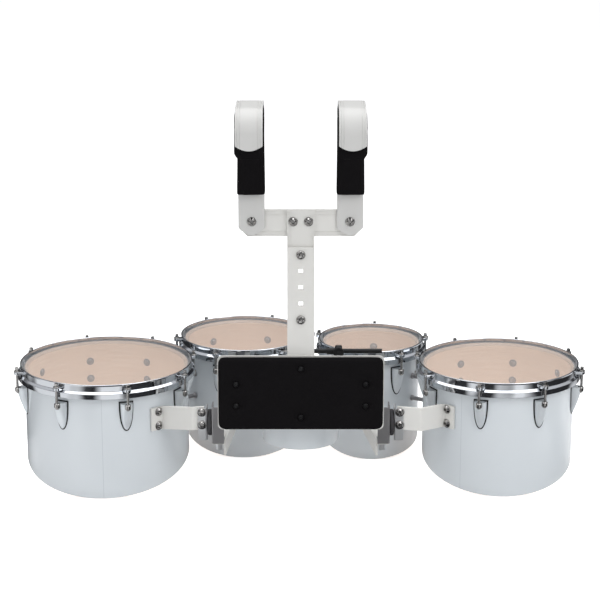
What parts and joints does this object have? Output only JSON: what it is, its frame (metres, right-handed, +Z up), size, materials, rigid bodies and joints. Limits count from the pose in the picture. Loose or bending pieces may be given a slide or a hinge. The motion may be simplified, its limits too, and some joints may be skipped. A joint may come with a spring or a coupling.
{
  "type": "marching tenor drum set with shoulder carrier",
  "caption": "Single-headed marching tom drums with slanted shells, joined in an arc and hung from a T-bar shoulder carrier with a padded belly plate.",
  "frame": {"origin": "bottom centre of the bounding box: the plane of the deepest shell edges, under the middle of the footprint", "axes": "+X to the player's right, across the drums; +Y away from the player, towards the audience; +Z up"},
  "size_m": [1.1404, 0.6742, 0.7993],
  "materials": {
    "shell": "cool white wrap over a wooden shell",
    "film": "clear polyester drum head in a light alloy hoop",
    "chrome": "bright chrome plate",
    "harness": "warm white powder coat",
    "blade": "warm white powder coat",
    "pad": "black foam with a fine cloth face",
    "grey": "satin grey anodised sheet",
    "rubber": "dark grey rubber",
    "black_steel": "black oxide"
  },
  "bodies": {
    "root": {"front_left_shell": "shell", "front_left_head": "film", "front_left_hoop": "chrome", "back_left_shell": "shell", "back_left_head": "film", "back_left_hoop": "chrome", "center_shell": "shell", "center_head": "film", "center_hoop": "chrome", "back_right_shell": "shell", "back_right_head": "film", "back_right_hoop": "chrome", "front_right_shell": "shell", "front_right_head": "film", "front_right_hoop": "chrome", "upper_standoff": "harness", "lower_standoff": "harness", "lower_bar": "harness", "belly_plate": "harness", "left_outer_arm": "harness", "right_outer_arm": "harness", "left_inner_arm": "harness", "right_inner_arm": "harness", "belly_pad": "pad", "left_channel": "grey", "right_channel": "grey", "front_left_spacer": "grey", "back_spacer": "grey", "front_right_spacer": "grey", "front_left_upper_spacer": "grey", "back_upper_spacer": "grey", "front_right_upper_spacer": "grey", "left_isolator": "rubber", "right_isolator": "rubber", "left_bracket": "chrome", "right_bracket": "chrome", "upper_height_bolt": "chrome", "lower_height_bolt": "chrome", "left_isolator_bolt": "chrome", "right_isolator_bolt": "chrome", "left_tab_bolt": "chrome", "right_tab_bolt": "chrome", "belly_screw_middle_upper": "black_steel", "belly_screw_middle_lower": "black_steel", "belly_screw_left_upper": "black_steel", "belly_screw_left_lower": "black_steel", "belly_screw_right_upper": "black_steel", "belly_screw_right_lower": "black_steel", "rod_clamp": "black_steel"},
    "yoke": {"t_stem": "harness", "cross_bar": "harness", "left_blade_bolt": "chrome", "left_stem_bolt": "chrome", "right_stem_bolt": "chrome", "right_blade_bolt": "chrome"},
    "left_shoulder": {"left_blade": "blade", "left_foam": "pad"},
    "right_shoulder": {"right_blade": "blade", "right_foam": "pad"},
    "accessory_rod": {"accessory_rod": "black_steel"}
  },
  "joints": [
    {"name": "stem_height", "type": "slide", "parent": "root", "child": "yoke", "axis": [0, 0, 1], "range_m": [0, 0.038]},
    {"name": "left_shoulder_swivel", "type": "hinge", "parent": "yoke", "child": "left_shoulder", "pos_m": [-0.09085, -0.17264, 0.5618], "axis": [0, 1, 0], "range_deg": [-12, 12]},
    {"name": "right_shoulder_swivel", "type": "hinge", "parent": "yoke", "child": "right_shoulder", "pos_m": [0.09595, -0.17264, 0.5618], "axis": [0, 1, 0], "range_deg": [-12, 12]},
    {"name": "accessory_rod_slide", "type": "slide", "parent": "root", "child": "accessory_rod", "axis": [1, 0, 0], "range_m": [-0.04, 0.045]}
  ]
}
